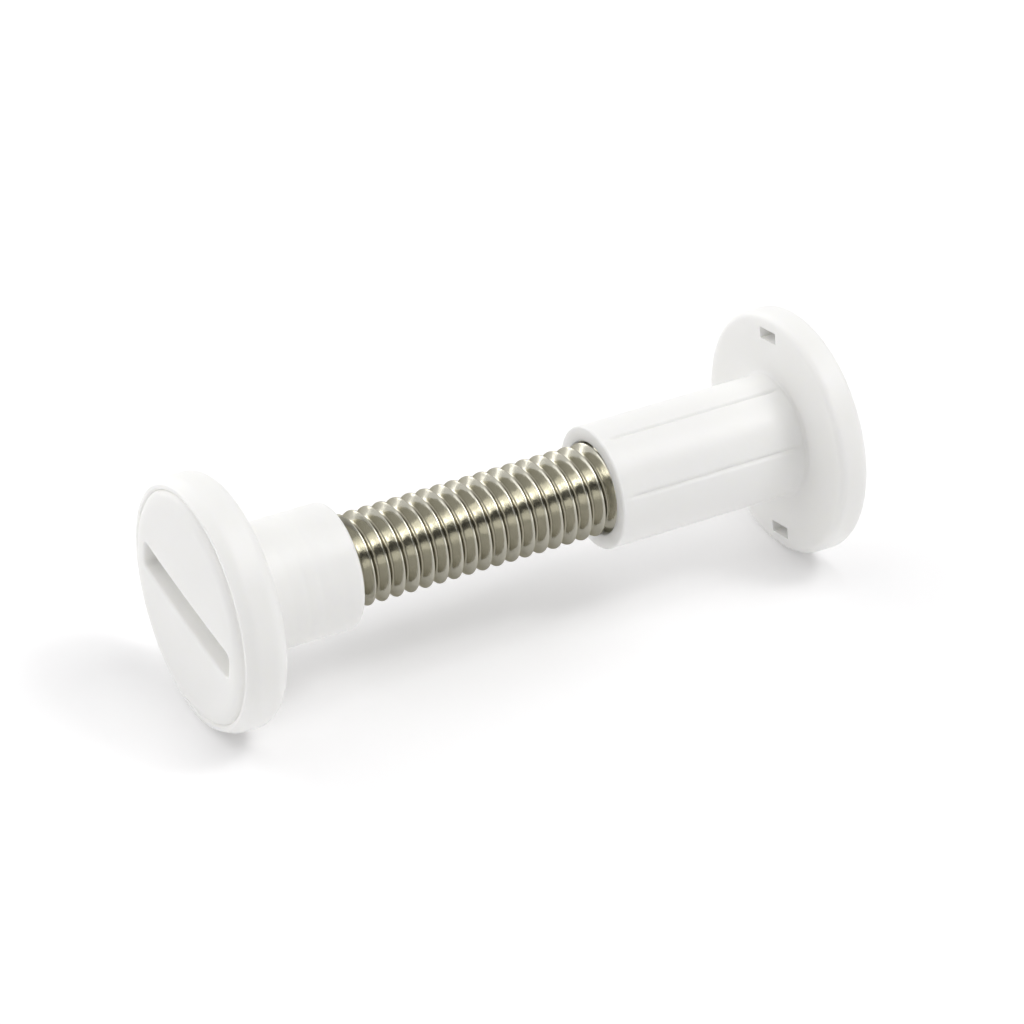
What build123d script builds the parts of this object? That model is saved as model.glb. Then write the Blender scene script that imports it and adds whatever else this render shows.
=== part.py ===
"""Binding barrel screw: a slotted plastic screw head moulded on a steel stud, and a flanged sleeve nut.

It stands on the outer face of the sleeve nut's flange, with the screw's axis along +Z and its head on top.
All sizes are in millimetres, and all angles in degrees.
"""

import os

from build123d import *

# ---- Threaded stud, M6 x 1 ----
THREAD_DIAMETER = 5.9        # over the crests
THREAD_DEPTH = 0.55          # from the crests to the roots
THREAD_PITCH = 1.0
EXPOSED_THREAD = 17.9        # between the sleeve's mouth and the neck, as the two halves stand now
ENGAGED_THREAD = 5.2         # inside the sleeve, as the two halves stand now
STUD_TIP_CHAMFER = 0.6
FLATS_DEPTH = 0.45           # pressed flats that keep the stud from turning in its moulding
FLATS_LENGTH = 3.0

# ---- Screw head moulding ----
HEAD_DIAMETER = 16.0
HEAD_THICKNESS = 3.2         # at the crown
HEAD_CROWN = 0.4             # rise of the domed face over its rim
HEAD_FACE_BEVEL = 0.35       # between the face and the rim
HEAD_BACK_EDGE = 0.9         # rounding between the rim and the back
NECK_WALL = 1.05             # plastic round the stud
NECK_LENGTH = 7.0
NECK_END_BEVEL = 0.35

# ---- Driver slot, closed at both ends ----
SLOT_WIDTH = 2.0
SLOT_DEPTH = 1.5
SLOT_RIM_WALL = 2.0          # between each end of the slot and the head's rim
SLOT_CORNER = 0.4            # corner radius in plan
SLOT_LIP = 0.2               # chamfer of the slot's mouth
SLOT_FLOOR_WALL = 1.3        # between the slot's floor and the blank end of the stud

# ---- Sleeve nut ----
SLEEVE_LENGTH = 15.4         # from the mouth to the outer face of the flange
SLEEVE_WALL = 1.0            # between the bore and the outside of the barrel
SLEEVE_END_WALL = 1.5        # between the end of the bore and the outer face of the flange
THREAD_CLEARANCE = 0.05      # radial, so that the nut runs freely on the stud
MOUTH_BEVEL = 0.2            # on the outside of the mouth
MOUTH_LEAD_IN = 0.15         # chamfer where the stud enters the bore
FLANGE_DIAMETER = 16.0
FLANGE_THICKNESS = 2.0
FLANGE_BEVEL = 0.3

# ---- Fine lines down the barrel ----
LINE_COUNT = 6
LINE_RADIUS = 0.2            # round section of the cutter
LINE_DEPTH = 0.1
LINE_MOUTH_GAP = 1.0         # plain stretch between the mouth and the start of each line
LINE_TURN = 25.0             # angle from the driver slot to the first line

# ---- Key holes through the flange ----
KEY_HOLE_COUNT = 2
KEY_HOLE_LENGTH = 1.8        # along the rim
KEY_HOLE_WIDTH = 0.9
KEY_HOLE_RIM_WALL = 0.85     # between each hole and the flange's rim
KEY_HOLE_TURN = 83.0         # angle from the first line to the first hole

# ---- Radii and heights that follow from the sizes above ----
STUD_RADIUS = THREAD_DIAMETER / 2
NECK_RADIUS = STUD_RADIUS + NECK_WALL
HEAD_RADIUS = HEAD_DIAMETER / 2
BORE_RADIUS = STUD_RADIUS + THREAD_CLEARANCE
SLEEVE_RADIUS = BORE_RADIUS + SLEEVE_WALL
FLANGE_RADIUS = FLANGE_DIAMETER / 2

MOUTH_Z = SLEEVE_LENGTH
NECK_END_Z = MOUTH_Z + EXPOSED_THREAD
HEAD_BACK_Z = NECK_END_Z + NECK_LENGTH
CROWN_Z = HEAD_BACK_Z + HEAD_THICKNESS
STUD_TIP_Z = MOUTH_Z - ENGAGED_THREAD
STUD_BLANK_Z = CROWN_Z - SLOT_DEPTH - SLOT_FLOOR_WALL


def rounded(section, radius, height, rounding):
    """The half section with its corner at this radius and height rounded."""
    corner = section.vertices().sort_by_distance((radius, height, 0))[0]
    return fillet(corner, rounding)


def bevelled(section, radius, height, bevel):
    """The half section with its corner at this radius and height cut back at 45 degrees."""
    corner = section.vertices().sort_by_distance((radius, height, 0))[0]
    return chamfer(corner, bevel)


def revolved(section):
    """The solid of revolution about +Z of a half section drawn as (radius, height)."""
    return revolve(Plane.XZ * section, Axis.Z)


def thread_outline():
    """The stud's half section outline: a chamfered tip, V ridges one pitch apart up to the neck, a plain blank end."""
    height = STUD_TIP_Z + STUD_TIP_CHAMFER
    outline = [(0, STUD_TIP_Z), (STUD_RADIUS - STUD_TIP_CHAMFER, STUD_TIP_Z), (STUD_RADIUS, height)]
    while height + THREAD_PITCH < NECK_END_Z:
        outline.append((STUD_RADIUS - THREAD_DEPTH, height + THREAD_PITCH / 2))
        height += THREAD_PITCH
        outline.append((STUD_RADIUS, height))
    return outline + [(STUD_RADIUS, STUD_BLANK_Z), (0, STUD_BLANK_Z), (0, STUD_TIP_Z)]


def threaded_stud():
    """The steel stud: its threaded stretch, and a blank end with two flats."""
    stud = revolved(make_face(Polyline(*thread_outline())))
    shaving = Box(
        FLATS_DEPTH, THREAD_DIAMETER, FLATS_LENGTH, align=(Align.MAX, Align.CENTER, Align.MAX)
    )
    for turn in (0, 180):
        stud -= Pos(0, 0, STUD_BLANK_Z) * Rot(0, 0, turn) * Pos(STUD_RADIUS, 0, 0) * shaving
    return stud


def head_blank():
    """Head and neck revolved in one piece: a crowned face, a thick rounded rim and a plain neck."""
    rim_z = CROWN_Z - HEAD_CROWN
    crown_radius = (HEAD_RADIUS**2 + HEAD_CROWN**2) / (2 * HEAD_CROWN)
    face = RadiusArc((0, CROWN_Z), (HEAD_RADIUS, rim_z), crown_radius)
    rest = Polyline(
        (HEAD_RADIUS, rim_z),
        (HEAD_RADIUS, HEAD_BACK_Z),
        (NECK_RADIUS, HEAD_BACK_Z),
        (NECK_RADIUS, NECK_END_Z),
        (0, NECK_END_Z),
        (0, CROWN_Z),
    )
    section = make_face(face + rest)
    section = bevelled(section, HEAD_RADIUS, rim_z, HEAD_FACE_BEVEL)
    section = rounded(section, HEAD_RADIUS, HEAD_BACK_Z, HEAD_BACK_EDGE)
    section = bevelled(section, NECK_RADIUS, NECK_END_Z, NECK_END_BEVEL)
    return revolved(section)


def screw_head(stud):
    """The head moulding: its blank cut by the driver slot, and closed round the stud it was moulded on."""
    slot_length = HEAD_DIAMETER - 2 * SLOT_RIM_WALL
    plan = RectangleRounded(slot_length, SLOT_WIDTH, SLOT_CORNER)
    slot = Pos(0, 0, CROWN_Z - SLOT_DEPTH) * extrude(plan, SLOT_DEPTH)
    blank = head_blank()
    head = blank - slot
    lip = [
        edge
        for edge in head.edges()
        if edge.center().Z > CROWN_Z - SLOT_DEPTH / 2
        and abs(edge.center().Y) < SLOT_WIDTH
        and abs(edge.center().X) < slot_length / 2 + SLOT_CORNER
        and edge.geom_type != GeomType.LINE
    ]
    return chamfer(lip, SLOT_LIP) - stud


def sleeve_blank():
    """Barrel and flange revolved in one piece round the blind bore."""
    section = make_face(
        Polyline(
            (0, 0),
            (FLANGE_RADIUS, 0),
            (FLANGE_RADIUS, FLANGE_THICKNESS),
            (SLEEVE_RADIUS, FLANGE_THICKNESS),
            (SLEEVE_RADIUS, MOUTH_Z),
            (BORE_RADIUS + MOUTH_LEAD_IN, MOUTH_Z),
            (BORE_RADIUS, MOUTH_Z - MOUTH_LEAD_IN),
            (BORE_RADIUS, SLEEVE_END_WALL),
            (0, SLEEVE_END_WALL),
            (0, 0),
        )
    )
    section = bevelled(section, FLANGE_RADIUS, 0, FLANGE_BEVEL)
    section = bevelled(section, FLANGE_RADIUS, FLANGE_THICKNESS, FLANGE_BEVEL)
    section = bevelled(section, SLEEVE_RADIUS, MOUTH_Z, MOUTH_BEVEL)
    return revolved(section)


def barrel_lines():
    """The cutters of the fine lines: thin rods laid along the barrel, from near its mouth to the flange."""
    length = MOUTH_Z - LINE_MOUTH_GAP - FLANGE_THICKNESS
    axis_radius = SLEEVE_RADIUS + LINE_RADIUS - LINE_DEPTH
    rod = Pos(axis_radius, 0, FLANGE_THICKNESS) * extrude(Circle(LINE_RADIUS), length)
    return [Rot(0, 0, LINE_TURN + 360 / LINE_COUNT * i) * rod for i in range(LINE_COUNT)]


def key_holes():
    """The cutters of the small rectangular holes that hold the flange while the screw is turned."""
    radius = FLANGE_RADIUS - KEY_HOLE_RIM_WALL - KEY_HOLE_WIDTH / 2
    hole = Pos(radius, 0, 0) * extrude(Rectangle(KEY_HOLE_WIDTH, KEY_HOLE_LENGTH), FLANGE_THICKNESS)
    first = LINE_TURN + KEY_HOLE_TURN
    return [Rot(0, 0, first + 360 / KEY_HOLE_COUNT * i) * hole for i in range(KEY_HOLE_COUNT)]


def sleeve_nut():
    """The sleeve nut moulding, with its fine lines and key holes."""
    nut = sleeve_blank()
    for cutter in barrel_lines() + key_holes():
        nut -= cutter
    return nut


stud = threaded_stud()
pieces = {
    "screw_head": screw_head(stud),
    "threaded_stud": stud,
    "sleeve_nut": sleeve_nut(),
}
os.makedirs("parts", exist_ok=True)
for name, piece in pieces.items():
    export_step(piece, f"parts/{name}.step")
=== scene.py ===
import bmesh
import bpy
import numpy as np
from mathutils import Matrix, Vector


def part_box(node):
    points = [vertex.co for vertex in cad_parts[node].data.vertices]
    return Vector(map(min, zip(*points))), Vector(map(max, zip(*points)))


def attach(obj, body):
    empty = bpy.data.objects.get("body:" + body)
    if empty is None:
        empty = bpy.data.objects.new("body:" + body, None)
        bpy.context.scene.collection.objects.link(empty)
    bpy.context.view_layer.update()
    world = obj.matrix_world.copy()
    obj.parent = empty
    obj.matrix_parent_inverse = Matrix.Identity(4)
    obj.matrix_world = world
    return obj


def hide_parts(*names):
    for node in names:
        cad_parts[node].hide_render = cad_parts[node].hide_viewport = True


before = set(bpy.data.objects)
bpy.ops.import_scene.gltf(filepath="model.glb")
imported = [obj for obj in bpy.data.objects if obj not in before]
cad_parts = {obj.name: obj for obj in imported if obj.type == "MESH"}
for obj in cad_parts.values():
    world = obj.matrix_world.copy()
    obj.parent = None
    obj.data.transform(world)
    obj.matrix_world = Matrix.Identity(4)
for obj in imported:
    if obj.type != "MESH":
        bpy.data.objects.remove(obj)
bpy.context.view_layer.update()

MM = 0.001

# ---- How the screw lies: on its side, with both rims on the table ----
UP_AZIMUTH = -82.0           # which way round the screw's axis the table's upward normal points, degrees
RIM_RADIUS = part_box("sleeve_nut")[1].x  # the head's rim is as wide

# ---- Camera, as seen from the table ----
LOOK_DOWN = 32.4             # degrees below the horizontal
LOOK_ALONG = 29.2            # degrees between the line of sight, seen from above, and square on to the screw
AIM_HEIGHT = 21.1 * MM       # the point aimed at, along the screw's axis
CAMERA_DISTANCE = 261.2 * MM
LENS = 148.6                 # focal length in mm, on a sensor 36 mm wide

# ---- Table and light ----
TABLE_REACH = 1.0            # from under the screw to each side of the table
TABLE_GLOW = 0.10            # what the table gives off by itself on to the screw, in whites
TABLE_LIFT = 0.135           # and what it gives off to the camera and to reflections
ROOM_LIGHT = 0.27            # what the room itself adds to every surface, in whites
LAMP_DISTANCE = 0.8
CARD_DISTANCE = 0.6          # of the dark card from the screw
CARD_LEFT = 290.0            # where the card starts and ends, round from the viewer's side, degrees
CARD_RIGHT = 350.0
CARD_LOW = 18.0              # and up from the table
CARD_HIGH = 42.0

# ---- Rolled thread, M6 x 1 ----
PITCH = 1.0 * MM
PITCH_RADIUS = 2.58 * MM     # where ridge and groove are equally wide
ROOT_RADIUS = 2.29 * MM
FLANK_SLOPE = 1.732          # rise over run of a 60 degree thread's flank
CREST_SOFTNESS = 0.02 * MM   # how gently the flanks run into the crest
ROOT_SOFTNESS = 0.08 * MM    # and into the root
CREST_PHASE = 0.63 * MM      # height of a crest at azimuth 0, give or take whole pitches
PAINTED_SHADE_HEIGHT = 0.09 * MM     # how far the painted shade in the thread reaches up from its root
TIP_CHAMFER = 0.6 * MM
FLATS_DEPTH = 0.45 * MM
FLATS_LENGTH = 3.0 * MM
STEPS_PER_PITCH = 28
STEPS_ALONG_TURN = 120

# ---- Screw head moulding ----
HEAD_RADIUS = 8.0 * MM
HEAD_THICKNESS = 3.2 * MM    # at the crown
DOME_RADIUS = 6.3 * MM       # of the nearly flat middle of the face
FACE_DOME = 0.08 * MM        # rise of that middle
FACE_EDGE_RADIUS = 7.3 * MM  # where the face ends, in a groove inside the rim
FACE_EDGE_FALL = 0.45 * MM   # from the edge of the middle down to that groove
FACE_EDGE_SWING = 72.0       # how much of a quarter ellipse that fall follows, degrees
LIP_HEIGHT = 0.14 * MM       # of the rim's lip above the groove
LIP_OFFSET = 0.12 * MM       # from the groove out to the lip
LIP_WIDTH = 0.22 * MM
LIP_INNER_ROUNDING = 0.09 * MM
LIP_OUTER_ROUNDING = 0.11 * MM
RIM_SHOULDER = 1.1 * MM      # from the crown down to where the rim is at its widest
RIM_SHOULDER_ROUNDING = 0.9 * MM
HEAD_BACK_ROUNDING = 0.9 * MM
NECK_RADIUS = 4.0 * MM
NECK_ROOT_ROUNDING = 0.15 * MM
NECK_END_ROUNDING = 0.35 * MM
RIPPLE_HEIGHT = 0.018 * MM   # of the faint waves in the neck
RIPPLE_MIDDLE = 36.7 * MM    # height where they are strongest
RIPPLE_SPREAD = 1.8 * MM     # how far from there they are a third as strong
NECK_STEP = 0.09 * MM        # longest step down the rim and neck, short enough for the ripples
GRIP_STEP = PITCH / 10       # up the thread inside the head, which the plastic follows
SLOT_LENGTH = 11.6 * MM
SLOT_WIDTH = 1.8 * MM
SLOT_DEPTH = 1.5 * MM
SLOT_CORNER = 0.4 * MM
SLOT_DRAFT = 0.03 * MM       # how much wider the slot is at its mouth than at its floor, on each side
SLOT_FLOOR_ROUNDING = 0.15 * MM
SLOT_LIP_ROUNDING = 0.18 * MM
STEPS_AROUND = 288
FACE_RINGS = 13              # from the slot's lip out to the edge of the middle
EDGE_RINGS = 15              # from there down to the groove

# ---- Sleeve nut moulding ----
BARREL_RADIUS = 4.0 * MM
BORE_RADIUS = 3.0 * MM
BORE_END = 1.5 * MM
BORE_END_ROUNDING = 0.3 * MM
END_DISC = 0.5 * MM          # radius of the fans of triangles that close the skin at both ends
MOUTH_ROUNDING = 0.15 * MM
FLANGE_THICKNESS = 2.0 * MM
FLANGE_ROUNDING = 0.5 * MM
BARREL_ROOT_ROUNDING = 0.25 * MM
LINE_COUNT = 6
LINE_TURN = np.radians(25.0)
LINE_WIDTH = 0.12 * MM       # from the middle of a groove to where it is a third as deep
LINE_DEPTH = 0.16 * MM
LINE_MOUTH_GAP = 0.25 * MM
LINE_FOOT_GAP = 0.4 * MM     # from the flange to where each groove ends, in a wider dent
LINE_DENT_WIDENING = 0.8     # of that dent, as a share of the line's width
LINE_DENT_LENGTH = 0.6 * MM
LINE_MOUTH_FADE = 0.8 * MM   # over which each groove grows to its full depth
LINE_FOOT_FADE = 0.4 * MM
PANEL_BULGE = 0.04 * MM
STEPS_PER_PANEL = 48
STEP_CROWDING = 0.85         # how strongly those steps draw towards the lines: 0 for even ones, below 1
KEY_HOLE_COUNT = 2
KEY_HOLE_TURN = np.radians(83.0)
KEY_HOLE_RADIUS = 6.7 * MM   # of the middle of each hole
KEY_HOLE_LENGTH = 1.8 * MM
KEY_HOLE_WIDTH = 0.75 * MM

# ---- Meshes ----
CRISP_ANGLE = 42.0           # edges sharper than this stay crisp, degrees
HAIR = 0.01 * MM             # what counts as lying on a surface
WELD_DISTANCE = 0.0001 * MM  # points nearer than this become one
LONGEST_STEP = 0.3 * MM      # along an outline, for an even mesh
ARC_STEPS = 8                # along each rounding

# ---- Surfaces ----
PLASTIC_SHADES = (0.89, 0.885, 0.865, 1), (0.91, 0.905, 0.888, 1)
PLASTIC_ROUGHNESS = 0.38, 0.50
PLASTIC_PEEL = 6e-6          # height of its orange peel
ZINC_SHADES = (0.44, 0.43, 0.37, 1), (0.51, 0.49, 0.42, 1)
ZINC_TINT = (0.45, 0.43, 0.36, 1)  # of what the zinc mirrors at a glancing angle
ZINC_ROUGHNESS = 0.12, 0.24
ZINC_WAVES = 30e-6           # height of the unevenness that rolling left in the flanks
ZINC_PITS = 8e-6             # height of the plating's fine grain
# painted shade: the darker colour laid down in the thread's root
ROOT_PAINTED_SHADE = (0.27, 0.25, 0.19, 1)
PAPER_SHADE = (0.92, 0.915, 0.92, 1)
CARD_SHADE = (0.05, 0.05, 0.05, 1)


def table_axes():
    """The table's directions in the part's frame: towards the viewer, along the screw to its head, and up."""
    azimuth = np.radians(UP_AZIMUTH)
    up = Vector((np.cos(azimuth), np.sin(azimuth), 0.0))
    headwards = Vector((0.0, 0.0, 1.0))
    nearer = up.cross(headwards)
    return nearer, headwards, up


NEARER, HEADWARDS, UP = table_axes()


def from_table(nearer, headwards, height):
    """The point this far from under the screw's middle: towards the viewer, towards the head, and up."""
    middle = HEADWARDS * AIM_HEIGHT - UP * RIM_RADIUS
    return middle + NEARER * nearer + HEADWARDS * headwards + UP * height


# ---- Mesh helpers ----
def mesh_piece(name, points, *face_groups):
    """A smooth-shaded closed piece from points and groups of faces, with crisp edges and faces outwards."""
    faces = [face for group in face_groups for face in group.tolist()]
    mesh = bpy.data.meshes.new(name)
    mesh.from_pydata(points.tolist(), [], faces)
    work = bmesh.new()
    work.from_mesh(mesh)
    bmesh.ops.remove_doubles(work, verts=work.verts, dist=WELD_DISTANCE)
    bmesh.ops.dissolve_degenerate(work, edges=work.edges, dist=WELD_DISTANCE / 10)
    bmesh.ops.recalc_face_normals(work, faces=work.faces)
    work.to_mesh(mesh)
    work.free()
    mesh.shade_smooth()
    mesh.set_sharp_from_angle(angle=np.radians(CRISP_ANGLE))
    piece = bpy.data.objects.new(name, mesh)
    bpy.context.scene.collection.objects.link(piece)
    return piece


def ring_walls(rings, around):
    """Quads between successive closed rings of points, as an array ring by step by corner."""
    start = np.arange(rings - 1)[:, None] * around
    step = np.arange(around)[None, :]
    here, following = start + step, start + (step + 1) % around
    return np.stack([here, following, following + around, here + around], axis=-1)


def cap(ring_start, around, centre):
    """Triangles that close a ring of points round a point at its centre."""
    here = np.arange(around)
    following = (here + 1) % around
    return np.stack([ring_start + here, ring_start + following, np.full_like(here, centre)], axis=-1)


def softened(corners):
    """A (radius, height) outline through corners given as (radius, height, rounding), with an arc at each.

    An arc turns evenly from where it leaves the line before it to where it meets the line after it, about a
    middle on the line that halves the corner.
    """
    outline = []
    for i, (radius, height, rounding) in enumerate(corners):
        here = np.array([radius, height])
        if rounding == 0:
            outline.append(here)
            continue
        back = np.array(corners[i - 1][:2]) - here
        on = np.array(corners[i + 1][:2]) - here
        back, on = back / np.linalg.norm(back), on / np.linalg.norm(on)
        half = np.arccos(np.clip(back @ on, -1, 1)) / 2
        middle = here + (back + on) / np.linalg.norm(back + on) * rounding / np.sin(half)
        start = here + back * rounding / np.tan(half) - middle
        end = here + on * rounding / np.tan(half) - middle
        swing = np.arccos(np.clip(start @ end / rounding**2, -1, 1))
        turn = np.linspace(0, 1, ARC_STEPS + 1)[:, None] * swing
        outline.extend(middle + (np.sin(swing - turn) * start + np.sin(turn) * end) / np.sin(swing))
    return np.array(outline)


def spaced(outline, longest):
    """The outline with its long stretches divided, so that no step is longer than this."""
    parts = [outline[:1]]
    for start, end in zip(outline[:-1], outline[1:]):
        steps = max(1, int(np.ceil(np.linalg.norm(end - start) / longest)))
        parts.append(start + (end - start) * np.linspace(0, 1, steps + 1)[1:, None])
    return np.concatenate(parts)


def turned(radius, azimuth, height):
    """Points at these radii, azimuths and heights."""
    radius, azimuth, height = np.broadcast_arrays(radius, azimuth, height)
    return np.stack([radius * np.cos(azimuth), radius * np.sin(azimuth), height], axis=-1)


# ---- Rolled stud ----
def soft_rise(x, softness):
    """Follows x where x is above 0 and stays at 0 where it is below, with a soft bend between."""
    return (x + np.sqrt(x * x + softness * softness)) / 2


def thread_radius(turns, crest_radius):
    """Radius of the thread at this many pitches from a crest.

    The flanks are straight and cross the pitch radius a quarter of a pitch from the crest. They bend softly
    into the root's radius below and into the crest's above.
    """
    off_crest = np.abs(turns - np.round(turns))
    flank = PITCH_RADIUS + (0.25 - off_crest) * FLANK_SLOPE * PITCH
    risen = ROOT_RADIUS + soft_rise(flank - ROOT_RADIUS, ROOT_SOFTNESS)
    return crest_radius - soft_rise(crest_radius - risen, CREST_SOFTNESS)


def stud_surface(azimuth, height):
    """Points on the stud: its right-hand thread, cut back by the tip's chamfer and the blank end's two flats.

    The thread's crest climbs one pitch in each turn. The chamfer is a cone of 45 degrees, and a flat holds
    x within its limits.
    """
    low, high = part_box("threaded_stud")
    turns = (height - CREST_PHASE) / PITCH - azimuth / (2 * np.pi)
    radius = np.minimum(thread_radius(turns, high.x), high.x - TIP_CHAMFER + (height - low.z))
    points = turned(radius, azimuth, height)
    flat = high.x - FLATS_DEPTH
    flatted = height > high.z - FLATS_LENGTH
    points[..., 0] = np.where(flatted, np.clip(points[..., 0], -flat, flat), points[..., 0])
    return points


def rolled_stud():
    """The stud with its rolled thread.

    Every column of the grid is lifted by its share of a pitch, so that each row runs along the helix, and
    the last column joins the first one pitch up. Heights are held between the tip and the blank end.
    """
    low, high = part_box("threaded_stud")
    step = PITCH / STEPS_PER_PITCH
    rows = int((high.z - low.z) / step) + STEPS_PER_PITCH + 3
    azimuth = np.linspace(0, 2 * np.pi, STEPS_ALONG_TURN, endpoint=False)[None, :]
    row_height = low.z - PITCH + np.arange(rows)[:, None] * step
    height = np.clip(row_height + azimuth / (2 * np.pi) * PITCH, low.z, high.z)
    points = stud_surface(np.broadcast_to(azimuth, height.shape), height).reshape(-1, 3)

    walls = ring_walls(rows, STEPS_ALONG_TURN)[:, :-1].reshape(-1, 4)
    row = np.arange(rows - 1 - STEPS_PER_PITCH)
    last, first = row * STEPS_ALONG_TURN + STEPS_ALONG_TURN - 1, (row + STEPS_PER_PITCH) * STEPS_ALONG_TURN
    seam = np.stack([last, first, first + STEPS_ALONG_TURN, last + STEPS_ALONG_TURN], axis=-1)
    count = len(points)
    ends = [cap(0, STEPS_ALONG_TURN, count), cap((rows - 1) * STEPS_ALONG_TURN, STEPS_ALONG_TURN, count + 1)]
    points = np.concatenate([points, [[0, 0, low.z], [0, 0, high.z]]])
    stud = mesh_piece("rolled_stud", points, walls, seam, *ends)
    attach(stud, "screw")
    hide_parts("threaded_stud")
    return stud


# ---- Screw head moulding ----
def slot_path():
    """Once round the slot, anticlockwise from +X: the core of its rounded rectangle, and the way out of it.

    The slot's outline grown by any amount is the core plus the way out times (corner radius + amount).
    """
    half_length, half_width = SLOT_LENGTH / 2 - SLOT_CORNER, SLOT_WIDTH / 2 - SLOT_CORNER
    x = half_length * np.array([1, 1, 1, -1, -1, -1, -1, 1, 1, 1])
    y = half_width * np.array([0, 1, 1, 1, 1, -1, -1, -1, -1, 0])
    turn = np.pi / 2 * np.array([0, 0, 1, 1, 2, 2, 3, 3, 4, 4])
    run = np.hypot(np.diff(x), np.diff(y)) + np.diff(turn) * SLOT_CORNER
    travelled = np.concatenate([[0], np.cumsum(run)])
    at = np.linspace(0, travelled[-1], STEPS_AROUND, endpoint=False)
    core = np.stack([np.interp(at, travelled, x), np.interp(at, travelled, y)], axis=-1)
    turn = np.interp(at, travelled, turn)
    return core, np.stack([np.cos(turn), np.sin(turn)], axis=-1)


def crown_drop(radius):
    """How far the crowned face lies below its middle: it grows with the square of the radius."""
    return FACE_DOME * (radius / DOME_RADIUS) ** 2


def slot_and_face_rings(crown):
    """Rings from the slot's floor up its walls, over its lip and out across the face to a circle.

    Each ring of the walls is the slot's outline grown by its draft. Across the face the rings blend evenly
    from the slot's outline to a circle, and all of them lie on the dome, whose curve fades towards the
    slot's floor.
    """
    core, way_out = slot_path()
    walls = softened(
        [
            (-SLOT_CORNER, -SLOT_DEPTH, 0),
            (0, -SLOT_DEPTH, SLOT_FLOOR_ROUNDING),
            (SLOT_DRAFT, 0, SLOT_LIP_ROUNDING),
            (SLOT_DRAFT + 2 * SLOT_LIP_ROUNDING, 0, 0),
        ]
    )
    walls = spaced(walls, LONGEST_STEP)
    outline = core + way_out * (SLOT_CORNER + walls[:, 0, None, None])
    depth = np.broadcast_to(walls[:, 1, None], outline.shape[:2])
    azimuth = np.linspace(0, 2 * np.pi, STEPS_AROUND, endpoint=False)
    circle = DOME_RADIUS * np.stack([np.cos(azimuth), np.sin(azimuth)], axis=-1)
    share = np.linspace(0, 1, FACE_RINGS + 1)[1:, None, None]
    plan = np.concatenate([outline, outline[-1] * (1 - share) + circle * share])
    depth = np.concatenate([depth, np.zeros((FACE_RINGS, STEPS_AROUND))])
    drop = crown_drop(np.hypot(plan[..., 0], plan[..., 1])) * (1 + depth / SLOT_DEPTH)
    height = crown + depth - drop
    return np.concatenate([plan, height[..., None]], axis=-1)


def face_edge_outline(crown):
    """(radius, height) points down the edge of the face, which falls ever more steeply, along an ellipse."""
    swing = np.linspace(0, np.radians(FACE_EDGE_SWING), EDGE_RINGS + 1)[1:]
    out = np.sin(swing) / np.sin(swing[-1])
    fall = (1 - np.cos(swing)) / (1 - np.cos(swing[-1]))
    radius = DOME_RADIUS + (FACE_EDGE_RADIUS - DOME_RADIUS) * out
    return np.stack([radius, crown - FACE_DOME - FACE_EDGE_FALL * fall], axis=-1)


def rim_and_neck_rings(crown, neck_end):
    """Rings from the face through the groove, over the rim and its back edge, and down the neck to its end.

    The neck carries faint ripples one pitch apart, where its plastic sank over the thread. They are a
    cosine of height and azimuth that fades as a bell curve above and below their middle.
    """
    edge = face_edge_outline(crown)
    groove, back = edge[-1], crown - HEAD_THICKNESS
    lip, lip_top = FACE_EDGE_RADIUS + LIP_OFFSET, groove[1] + LIP_HEIGHT
    outline = softened(
        [
            (*edge[-2], 0),
            (*groove, 0),
            (lip, lip_top, LIP_INNER_ROUNDING),
            (lip + LIP_WIDTH, lip_top, LIP_OUTER_ROUNDING),
            (HEAD_RADIUS, crown - RIM_SHOULDER, RIM_SHOULDER_ROUNDING),
            (HEAD_RADIUS, back, HEAD_BACK_ROUNDING),
            (NECK_RADIUS, back, NECK_ROOT_ROUNDING),
            (NECK_RADIUS, neck_end, NECK_END_ROUNDING),
            (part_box("threaded_stud")[1].x, neck_end, 0),
        ]
    )
    outline = np.concatenate([edge[:-1], spaced(outline, NECK_STEP)[1:]])
    radius, height = outline[:, 0, None], outline[:, 1, None]
    azimuth = np.linspace(0, 2 * np.pi, STEPS_AROUND, endpoint=False)[None, :]
    wave = np.cos(2 * np.pi * height / PITCH - azimuth)
    fading = np.exp(-(((height - RIPPLE_MIDDLE) / RIPPLE_SPREAD) ** 2))
    on_neck = abs(radius - NECK_RADIUS) < HAIR
    radius = radius + np.where(on_neck, RIPPLE_HEIGHT * wave * fading, 0)
    return turned(radius, azimuth, height)


def head_moulding():
    """The head moulding: slot, crowned face, rim and neck in one skin, closed round the stud inside it."""
    crown, neck_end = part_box("screw_head")[1].z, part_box("screw_head")[0].z
    blank_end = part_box("threaded_stud")[1].z
    azimuth = np.linspace(0, 2 * np.pi, STEPS_AROUND, endpoint=False)[None, :]
    grip_height = np.arange(neck_end, blank_end, GRIP_STEP)[:, None]
    grip_height = np.concatenate([grip_height, [[blank_end]]])
    shape = (len(grip_height), STEPS_AROUND)
    grip = stud_surface(np.broadcast_to(azimuth, shape), np.broadcast_to(grip_height, shape))
    rings = np.concatenate([slot_and_face_rings(crown), rim_and_neck_rings(crown, neck_end), grip])
    around = rings.shape[1]
    walls = ring_walls(len(rings), around).reshape(-1, 4)
    count = len(rings) * around
    ends = [cap(0, around, count), cap(count - around, around, count + 1)]
    points = np.concatenate([rings.reshape(-1, 3), [[0, 0, crown - SLOT_DEPTH], [0, 0, blank_end]]])
    head = mesh_piece("head_moulding", points, walls, *ends)
    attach(head, "screw")
    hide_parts("screw_head")
    return head


# ---- Sleeve nut moulding ----
def key_hole_turns():
    """Azimuths of the middles of the key holes."""
    return [LINE_TURN + KEY_HOLE_TURN + 2 * np.pi / KEY_HOLE_COUNT * i for i in range(KEY_HOLE_COUNT)]


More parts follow.
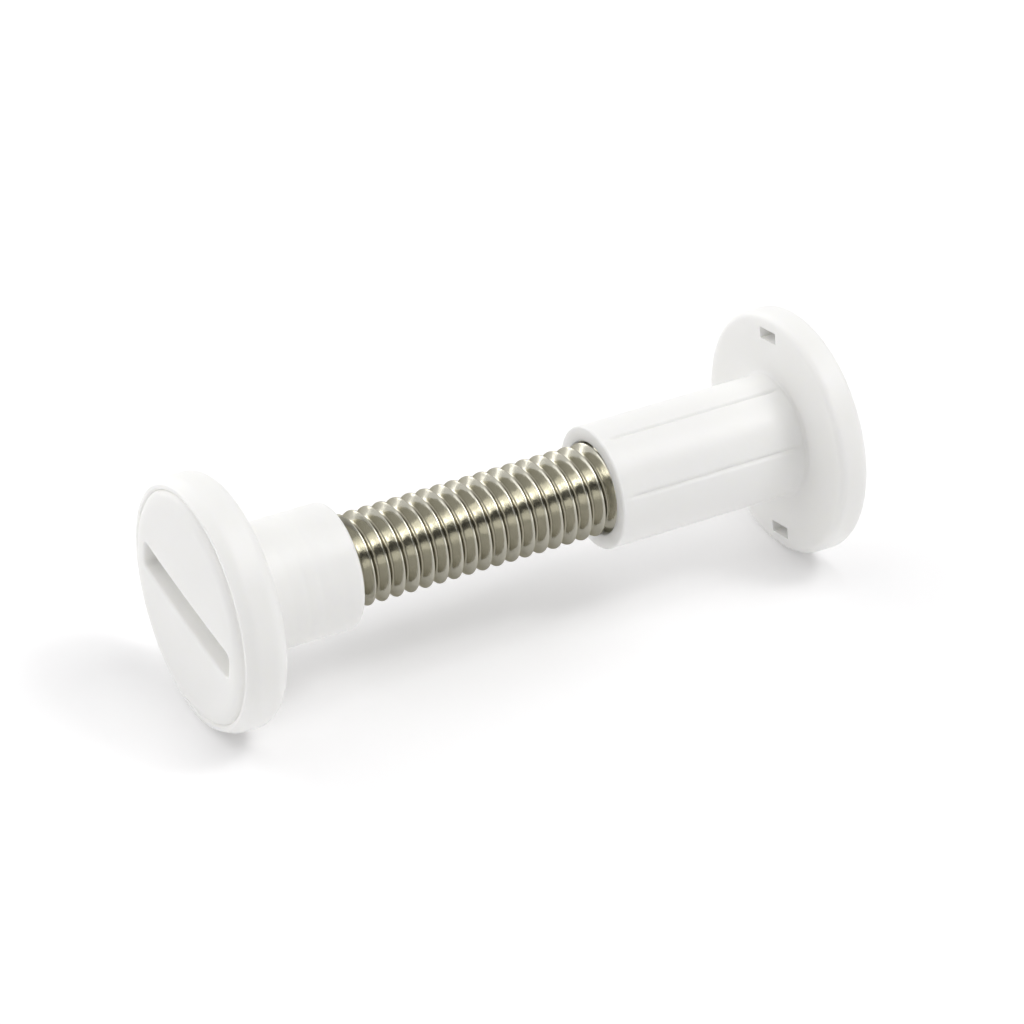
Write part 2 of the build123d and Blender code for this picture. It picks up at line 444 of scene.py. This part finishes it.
def barrel_azimuths():
    """Azimuths of the columns round the sleeve nut, and which two columns lie at the sides of each key hole.

    In each panel they run as the share of it less a sine of that share, closer together at the lines. The
    columns nearest to a key hole's two sides are then moved on to them.
    """
    share = np.arange(STEPS_PER_PANEL) / STEPS_PER_PANEL
    panel = share - STEP_CROWDING * np.sin(2 * np.pi * share) / (2 * np.pi)
    azimuth = LINE_TURN + (np.arange(LINE_COUNT)[:, None] + panel[None, :]).ravel() * 2 * np.pi / LINE_COUNT
    half = np.arctan(KEY_HOLE_LENGTH / 2 / KEY_HOLE_RADIUS)
    sides = []
    for middle in key_hole_turns():
        columns = [int(np.argmin(abs(azimuth - (middle + side * half)))) for side in (-1, 1)]
        azimuth[columns] = middle - half, middle + half
        sides.append(columns)
    return azimuth, sides


def sleeve_outline():
    """Half section of the sleeve nut: outer face, rim, inner face, barrel, mouth and blind bore."""
    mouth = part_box("sleeve_nut")[1].z
    inner, outer = KEY_HOLE_RADIUS - KEY_HOLE_WIDTH / 2, KEY_HOLE_RADIUS + KEY_HOLE_WIDTH / 2
    corners = [
        (END_DISC, 0, 0),
        (inner, 0, 0),
        (outer, 0, 0),
        (RIM_RADIUS, 0, FLANGE_ROUNDING),
        (RIM_RADIUS, FLANGE_THICKNESS, FLANGE_ROUNDING),
        (outer, FLANGE_THICKNESS, 0),
        (inner, FLANGE_THICKNESS, 0),
        (BARREL_RADIUS, FLANGE_THICKNESS, BARREL_ROOT_ROUNDING),
        (BARREL_RADIUS, mouth, MOUTH_ROUNDING),
        (BORE_RADIUS, mouth, MOUTH_ROUNDING),
        (BORE_RADIUS, BORE_END, BORE_END_ROUNDING),
        (END_DISC, BORE_END, 0),
    ]
    return spaced(softened(corners), LONGEST_STEP)


def barrel_relief(azimuth, height):
    """How far the barrel lies below its full radius: faintly bulged panels with fine grooves between them.

    Across, a groove is a bell curve, wider in the dent at its foot. Along, it deepens smoothly from both
    ends. A panel's bulge is a cosine, highest in the middle of the panel.
    """
    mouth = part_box("sleeve_nut")[1].z
    panel = 2 * np.pi / LINE_COUNT
    from_line = azimuth - LINE_TURN
    from_line = (from_line - np.round(from_line / panel) * panel) * BARREL_RADIUS
    from_foot = np.clip(height - FLANGE_THICKNESS - LINE_FOOT_GAP, 0, None)
    width = LINE_WIDTH * (1 + LINE_DENT_WIDENING * np.exp(-from_foot / LINE_DENT_LENGTH))
    groove = LINE_DEPTH * np.exp(-((from_line / width) ** 2))
    from_mouth = np.clip((mouth - LINE_MOUTH_GAP - height) / LINE_MOUTH_FADE, 0, 1)
    share = from_mouth * np.clip(from_foot / LINE_FOOT_FADE, 0, 1)
    bulge = PANEL_BULGE * (1 + np.cos(LINE_COUNT * (azimuth - LINE_TURN))) / 2
    return groove * share**2 * (3 - 2 * share) + bulge


def key_hole_mouth(points, outline, azimuth, columns, middle, face_height):
    """Squares up a key hole in one face of the flange, and gives the rows it spans and the loop round it.

    The points within the hole's radii are moved on to straight lines, square to the radius through its
    middle, and the loop lists those along its four sides.
    """
    in_hole = abs(outline[:, 0] - KEY_HOLE_RADIUS) < KEY_HOLE_WIDTH / 2 + HAIR / 10
    rows = np.flatnonzero(in_hole & (abs(outline[:, 1] - face_height) < HAIR / 10))
    rows = rows[np.argsort(outline[rows, 0])]
    across = np.tan(azimuth[columns] - middle)
    across = across / across[-1] * KEY_HOLE_LENGTH / 2
    out = outline[rows, 0][:, None]
    x = out * np.cos(middle) - across * np.sin(middle)
    y = out * np.sin(middle) + across * np.cos(middle)
    points[np.ix_(rows, columns)] = np.stack([x, y, np.full_like(x, face_height)], axis=-1)
    index = rows[:, None] * len(azimuth) + columns[None, :]
    loop = np.concatenate([index[0, :-1], index[:-1, -1], index[-1, :0:-1], index[:0:-1, 0]])
    return rows, loop


def sleeve_moulding():
    """The sleeve nut in one skin, with its lines down the barrel and its key holes through the flange.

    The half section is turned once round, and the barrel's relief is taken off its radius. The faces inside
    each key hole are left out on both sides of the flange, and walls join the two loops round them.
    """
    outline = sleeve_outline()
    azimuth, hole_sides = barrel_azimuths()
    radius, height = outline[:, 0, None], outline[:, 1, None]
    on_barrel = abs(radius - BARREL_RADIUS) < HAIR
    relief = np.where(on_barrel, barrel_relief(azimuth[None, :], height), 0)
    points = turned(radius - relief, azimuth[None, :], height)
    rings, around = points.shape[:2]
    keep = np.ones((rings - 1, around), dtype=bool)
    hole_walls = []
    for middle, (first, last) in zip(key_hole_turns(), hole_sides):
        loops = []
        columns = np.arange(first, last + 1)
        for face_height in (0, FLANGE_THICKNESS):
            rows, loop = key_hole_mouth(points, outline, azimuth, columns, middle, face_height)
            keep[rows.min() : rows.max(), first:last] = False
            loops.append(loop)
        low, high = loops
        hole_walls.append(np.stack([low, np.roll(low, -1), np.roll(high, -1), high], axis=-1))
    walls = ring_walls(rings, around)[keep]
    count = rings * around
    ends = [cap(0, around, count), cap(count - around, around, count + 1)]
    points = np.concatenate([points.reshape(-1, 3), [[0, 0, 0], [0, 0, BORE_END]]])
    sleeve = mesh_piece("sleeve_moulding", points, walls, *hole_walls, *ends)
    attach(sleeve, "sleeve")
    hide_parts("sleeve_nut")
    return sleeve


# ---- Material helpers ----
def new_material(name):
    """A material with nodes, its node tree and its main shader."""
    material = bpy.data.materials.new(name)
    material.use_nodes = True
    tree = material.node_tree
    return material, tree, tree.nodes["Principled BSDF"]


def noise(tree, scale, detail):
    """Noise on Object coordinates; the scale is in lumps per metre."""
    place = tree.nodes.new("ShaderNodeTexCoord")
    node = tree.nodes.new("ShaderNodeTexNoise")
    node.inputs["Scale"].default_value = scale
    node.inputs["Detail"].default_value = detail
    tree.links.new(place.outputs["Object"], node.inputs["Vector"])
    return node.outputs["Fac"]


def distance_from_axis(tree):
    """Distance from the screw's axis, on Object coordinates."""
    place = tree.nodes.new("ShaderNodeTexCoord")
    flat = tree.nodes.new("ShaderNodeVectorMath")
    flat.operation = "MULTIPLY"
    flat.inputs[1].default_value = (1, 1, 0)
    tree.links.new(place.outputs["Object"], flat.inputs[0])
    length = tree.nodes.new("ShaderNodeVectorMath")
    length.operation = "LENGTH"
    tree.links.new(flat.outputs["Vector"], length.inputs[0])
    return length.outputs["Value"]


def spread(tree, value, low, high, start=0, end=1):
    """Maps a value from start..end onto low..high, and holds it there."""
    node = tree.nodes.new("ShaderNodeMapRange")
    node.inputs["From Min"].default_value = start
    node.inputs["From Max"].default_value = end
    node.inputs["To Min"].default_value = low
    node.inputs["To Max"].default_value = high
    tree.links.new(value, node.inputs["Value"])
    return node.outputs["Result"]


def bump(tree, height, distance, before=None):
    """Bump from a height in 0..1, this many metres high."""
    node = tree.nodes.new("ShaderNodeBump")
    node.inputs["Distance"].default_value = distance
    tree.links.new(height, node.inputs["Height"])
    if before is not None:
        tree.links.new(before, node.inputs["Normal"])
    return node.outputs["Normal"]


def mix(tree, share, first, second):
    """A colour between two, by the share of the second; each is a colour or an output that gives one."""
    node = tree.nodes.new("ShaderNodeMix")
    node.data_type = "RGBA"
    tree.links.new(share, node.inputs[0])
    for colour, socket in ((first, node.inputs[6]), (second, node.inputs[7])):
        if isinstance(colour, tuple):
            socket.default_value = colour
        else:
            tree.links.new(colour, socket)
    return node.outputs[2]


def moulded_plastic(name):
    """White semi-gloss moulded plastic, faintly clouded, with a faint orange peel, that light sinks into."""
    material, tree, shader = new_material(name)
    cloud = noise(tree, scale=220, detail=2)
    tree.links.new(mix(tree, cloud, *PLASTIC_SHADES), shader.inputs["Base Color"])
    gloss = noise(tree, scale=900, detail=3)
    tree.links.new(spread(tree, gloss, *PLASTIC_ROUGHNESS), shader.inputs["Roughness"])
    peel = bump(tree, noise(tree, scale=1400, detail=2), PLASTIC_PEEL)
    tree.links.new(peel, shader.inputs["Normal"])
    shader.inputs["IOR"].default_value = 1.5
    shader.inputs["Subsurface Weight"].default_value = 0.7
    shader.inputs["Subsurface Radius"].default_value = (0.8, 0.8, 0.75)
    shader.inputs["Subsurface Scale"].default_value = MM
    return material


def zinc_plate():
    """Yellowish zinc plate on a rolled thread, with painted shade darkening it down in the root."""
    material, tree, shader = new_material("zinc_plate")
    shader.inputs["Metallic"].default_value = 1.0
    plate = mix(tree, noise(tree, scale=1500, detail=3), *ZINC_SHADES)
    # painted shade: the plate's colour darkens towards the thread's root
    out_of_painted_shade = spread(tree, distance_from_axis(tree), 0, 1, ROOT_RADIUS, ROOT_RADIUS + PAINTED_SHADE_HEIGHT)
    tree.links.new(mix(tree, out_of_painted_shade, ROOT_PAINTED_SHADE, plate), shader.inputs["Base Color"])
    shader.inputs["Specular Tint"].default_value = ZINC_TINT
    gloss = noise(tree, scale=2500, detail=3)
    tree.links.new(spread(tree, gloss, *ZINC_ROUGHNESS), shader.inputs["Roughness"])
    waves = bump(tree, noise(tree, scale=600, detail=2), ZINC_WAVES)
    pits = bump(tree, noise(tree, scale=3000, detail=3), ZINC_PITS, waves)
    tree.links.new(pits, shader.inputs["Normal"])
    return material


# ---- Table, light and camera ----
def seen_directly(tree):
    """1 for rays straight from the camera or by way of a reflection or a clear solid, and 0 for the rest."""
    path = tree.nodes.new("ShaderNodeLightPath")
    total = path.outputs["Is Camera Ray"]
    for kind in ("Is Glossy Ray", "Is Transmission Ray"):
        add = tree.nodes.new("ShaderNodeMath")
        add.use_clamp = True
        tree.links.new(total, add.inputs[0])
        tree.links.new(path.outputs[kind], add.inputs[1])
        total = add.outputs[0]
    return total


def flat_sheet(name, corners, *shader_nodes):
    """A flat sheet through four corners, apart from the screw, with its node tree and these nodes in it."""
    mesh = bpy.data.meshes.new(name)
    mesh.from_pydata([tuple(corner) for corner in corners], [], [(0, 1, 2, 3)])
    sheet = bpy.data.objects.new(name, mesh)
    bpy.context.scene.collection.objects.link(sheet)
    material = bpy.data.materials.new(name)
    material.use_nodes = True
    tree = material.node_tree
    tree.nodes.clear()
    mesh.materials.append(material)
    return sheet, tree, [tree.nodes.new(kind) for kind in shader_nodes]


def white_table():
    """The table: a wide white sheet that holds the screw's shadow, and that is see-through from below."""
    far = TABLE_REACH
    corners = [from_table(n, h, 0) for n, h in ((-far, -far), (-far, far), (far, far), (far, -far))]
    _, tree, nodes = flat_sheet(
        "table",
        corners,
        "ShaderNodeBsdfDiffuse",
        "ShaderNodeEmission",
        "ShaderNodeAddShader",
        "ShaderNodeBsdfTransparent",
        "ShaderNodeNewGeometry",
        "ShaderNodeMixShader",
        "ShaderNodeOutputMaterial",
    )
    paper, glow, top, clear, side, two_sided, out = nodes
    paper.inputs["Color"].default_value = PAPER_SHADE
    strength = spread(tree, seen_directly(tree), TABLE_GLOW, TABLE_LIFT)
    tree.links.new(strength, glow.inputs["Strength"])
    tree.links.new(paper.outputs[0], top.inputs[0])
    tree.links.new(glow.outputs[0], top.inputs[1])
    tree.links.new(side.outputs["Backfacing"], two_sided.inputs[0])
    tree.links.new(top.outputs[0], two_sided.inputs[1])
    tree.links.new(clear.outputs[0], two_sided.inputs[2])
    tree.links.new(two_sided.outputs[0], out.inputs["Surface"])


def round_the_screw(round_from_viewer, up, distance):
    """The point this far from the screw's middle, in a direction given in degrees.

    It goes round from the viewer's side towards the head, and up from the table.
    """
    turn, rise = np.radians(round_from_viewer), np.radians(up)
    level = distance * np.cos(rise)
    return from_table(level * np.cos(turn), level * np.sin(turn), RIM_RADIUS + distance * np.sin(rise))


def dark_card():
    """A dark grey card on the viewer's side, unseen by the camera, that the thread mirrors as a dark band."""
    edges = ((CARD_LEFT, CARD_LOW), (CARD_RIGHT, CARD_LOW), (CARD_RIGHT, CARD_HIGH), (CARD_LEFT, CARD_HIGH))
    corners = [round_the_screw(turn, up, CARD_DISTANCE) for turn, up in edges]
    sheet, tree, nodes = flat_sheet("dark_card", corners, "ShaderNodeBsdfDiffuse", "ShaderNodeOutputMaterial")
    card, out = nodes
    card.inputs["Color"].default_value = CARD_SHADE
    tree.links.new(card.outputs[0], out.inputs["Surface"])
    sheet.visible_camera = False


def soft_lamp(name, round_from_viewer, up, size, strength):
    """A square soft lamp LAMP_DISTANCE from the screw and facing it, placed as round_the_screw says.

    Strength is what it adds, in whites, to a surface square on to it.
    """
    target = from_table(0, 0, RIM_RADIUS)
    place = round_the_screw(round_from_viewer, up, LAMP_DISTANCE)
    data = bpy.data.lights.new(name, "AREA")
    data.shape = "SQUARE"
    data.size = size
    data.energy = strength * np.pi**2 * LAMP_DISTANCE**2
    lamp = bpy.data.objects.new(name, data)
    lamp.location = place
    lamp.rotation_mode = "QUATERNION"
    lamp.rotation_quaternion = (target - place).to_track_quat("-Z", "Y")
    lamp.visible_camera = False
    bpy.context.scene.collection.objects.link(lamp)
    return lamp


def studio_walls():
    """The room: white where it is seen directly or mirrored, and an even soft light for the rest."""
    world = bpy.data.worlds.new("studio")
    bpy.context.scene.world = world
    world.use_nodes = True
    tree = world.node_tree
    tree.nodes.clear()
    room = tree.nodes.new("ShaderNodeBackground")
    out = tree.nodes.new("ShaderNodeOutputWorld")
    tree.links.new(spread(tree, seen_directly(tree), ROOM_LIGHT, 1), room.inputs["Strength"])
    room.inputs["Color"].default_value = (1, 1, 1, 1)
    tree.links.new(room.outputs[0], out.inputs["Surface"])


def place_camera():
    """The camera looks down and along at the lying screw, and isn't tilted to either side."""
    down, along = np.radians(LOOK_DOWN), np.radians(LOOK_ALONG)
    level = NEARER * np.cos(along) + HEADWARDS * np.sin(along)
    back = level * np.cos(down) + UP * np.sin(down)
    target = HEADWARDS * AIM_HEIGHT
    right = UP.cross(back).normalized()
    above = back.cross(right)
    turn = Matrix((right, above, back)).transposed()
    data = bpy.data.cameras.new("camera")
    data.sensor_width = 36.0
    data.lens = LENS
    data.clip_start = 0.01
    camera = bpy.data.objects.new("camera", data)
    camera.location = target + back * CAMERA_DISTANCE
    camera.rotation_mode = "QUATERNION"
    camera.rotation_quaternion = turn.to_quaternion()
    bpy.context.scene.collection.objects.link(camera)
    bpy.context.scene.camera = camera


stud = rolled_stud()
stud.data.materials.append(zinc_plate())
head = head_moulding()
head.data.materials.append(moulded_plastic("screw_plastic_white"))
sleeve = sleeve_moulding()
sleeve.data.materials.append(moulded_plastic("sleeve_plastic_white"))

white_table()
studio_walls()
dark_card()
soft_lamp("front_lamp", round_from_viewer=325, up=9, size=0.5, strength=0.14)
soft_lamp("head_side_lamp", round_from_viewer=100, up=12, size=0.5, strength=0.13)
back_lamp = soft_lamp("back_lamp", round_from_viewer=140, up=64, size=1.0, strength=0.49)
back_lamp.visible_glossy = False  # mirrored, it would brighten the upper side of the thread
soft_lamp("low_back_lamp", round_from_viewer=160, up=12, size=0.4, strength=0.22)
soft_lamp("soft_box", round_from_viewer=312, up=59, size=0.62, strength=0.45)
soft_lamp("soft_box_core", round_from_viewer=312, up=57, size=0.16, strength=0.12)
place_camera()
bpy.context.scene.view_settings.view_transform = "Standard"
